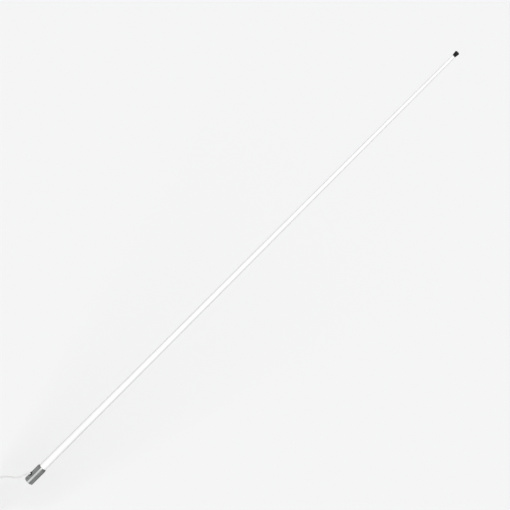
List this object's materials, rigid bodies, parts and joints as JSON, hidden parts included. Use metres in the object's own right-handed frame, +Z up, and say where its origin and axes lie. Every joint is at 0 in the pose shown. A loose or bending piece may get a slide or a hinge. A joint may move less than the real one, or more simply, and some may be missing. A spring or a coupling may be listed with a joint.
{
  "type": "omnidirectional antenna",
  "caption": "Upright marine whip antenna: tapered white radome in a threaded steel ferrule, black tip cap, and a coaxial lead with a screw-on plug.",
  "frame": {"origin": "centre of the ferrule's lower face, at the mouth of its mounting thread", "axes": "+Z up the whip from the mount to the tip cap, -X towards the side where the lead leaves the ferrule"},
  "size_m": [0.1729, 0.0547, 2.747],
  "materials": {
    "ferrule_steel": "satin stainless steel, turned",
    "radome_white": "white polyurethane-coated fibreglass, semi-gloss",
    "cap_black": "black moulded plastic, satin",
    "grommet_rubber": "black rubber",
    "epoxy": "dark cast epoxy",
    "cable_jacket": "white PVC jacket",
    "braid_copper": "tinned copper braid",
    "dielectric": "foamed polyethylene",
    "copper": "bare copper",
    "brass_tube": "drawn brass tube",
    "solder": "tin solder",
    "insulator_white": "white PTFE",
    "former_plastic": "natural acetal",
    "foam": "closed-cell foam",
    "tie_strap": "black hook-and-loop strap",
    "boot_rubber": "black heat-shrunk boot",
    "nickel": "nickel plating"
  },
  "bodies": {
    "antenna": {"ferrule": "ferrule_steel", "cable_grommet": "grommet_rubber", "radome": "radome_white", "radome_bond": "epoxy", "tip_cap": "cap_black", "feed_coax": "cable_jacket", "base_potting": "epoxy", "choke_sleeve": "brass_tube", "sleeve_cap": "brass_tube", "coax_braid": "braid_copper", "coax_dielectric": "dielectric", "centre_conductor": "copper", "braid_solder": "solder", "core_solder": "solder", "feed_insulator": "insulator_white", "feed_end_plug": "brass_tube", "lower_radiator": "brass_tube", "upper_radiator": "brass_tube", "phasing_former": "former_plastic", "phasing_coil": "copper", "lead_cable": "cable_jacket", "lead_tail": "cable_jacket", "lead_coil": "cable_jacket", "coil_tie_1": "tie_strap", "coil_tie_2": "tie_strap", "plug_boot": "boot_rubber", "plug_lead": "cable_jacket", "plug_reducer": "nickel", "plug_body": "nickel", "plug_insulator": "insulator_white", "plug_pin": "nickel", "sleeve_spacer_1": "former_plastic", "sleeve_spacer_2": "former_plastic", "sleeve_spacer_3": "former_plastic", "foam_spacer_1": "foam", "foam_spacer_2": "foam", "foam_spacer_3": "foam", "foam_spacer_4": "foam", "foam_spacer_5": "foam", "foam_spacer_6": "foam", "foam_spacer_7": "foam", "foam_spacer_8": "foam", "foam_spacer_9": "foam", "foam_spacer_10": "foam", "foam_spacer_11": "foam", "foam_spacer_12": "foam", "foam_spacer_13": "foam", "foam_spacer_14": "foam"},
    "coupling_ring": {"coupling_ring": "nickel"}
  },
  "joints": [
    {"name": "ring_spin", "type": "hinge", "parent": "antenna", "child": "coupling_ring", "pos_m": [-0.134, -0.0265, -0.284], "axis": [0, 0, 1], "continuous": true}
  ]
}
